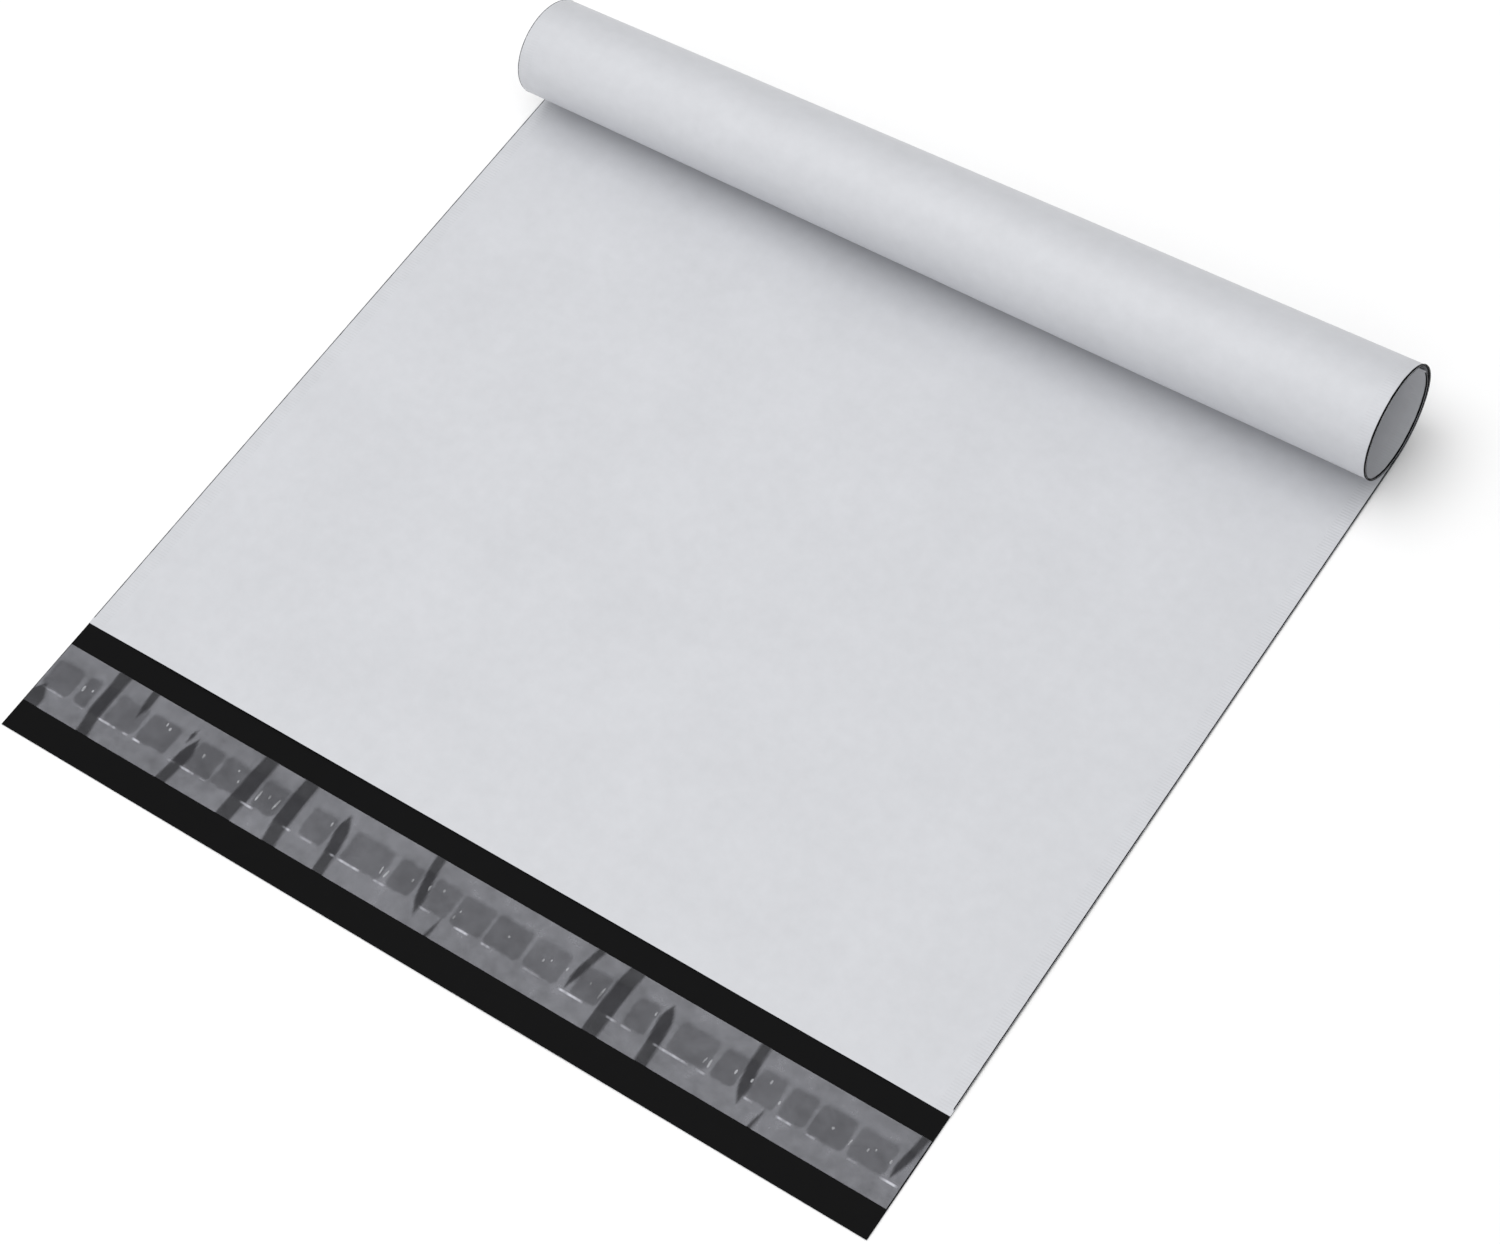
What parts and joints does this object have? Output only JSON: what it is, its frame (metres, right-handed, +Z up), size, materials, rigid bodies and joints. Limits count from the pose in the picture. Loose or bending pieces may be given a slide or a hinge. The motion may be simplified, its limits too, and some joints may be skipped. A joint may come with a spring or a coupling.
{
  "type": "poly mailer bag",
  "caption": "Flat courier bag of opaque film with a self-seal flap under a peel-off liner, its closed end rolled over.",
  "frame": {"origin": "centre of the bag's footprint, on the surface that it lies on", "axes": "+X across the bag, +Y from the flap's tip towards the rolled closed end, +Z up out of the front panel"},
  "size_m": [0.368, 0.3662, 0.0469],
  "materials": {
    "film": "satin light grey outside, matt black inside",
    "hot_melt_glue": "tacky, glossy where wetted",
    "peel_liner": "translucent silicone-coated film, creased"
  },
  "bodies": {
    "root": {"bag_film": "film", "adhesive_strip": "hot_melt_glue", "release_liner": "peel_liner"}
  },
  "joints": []
}
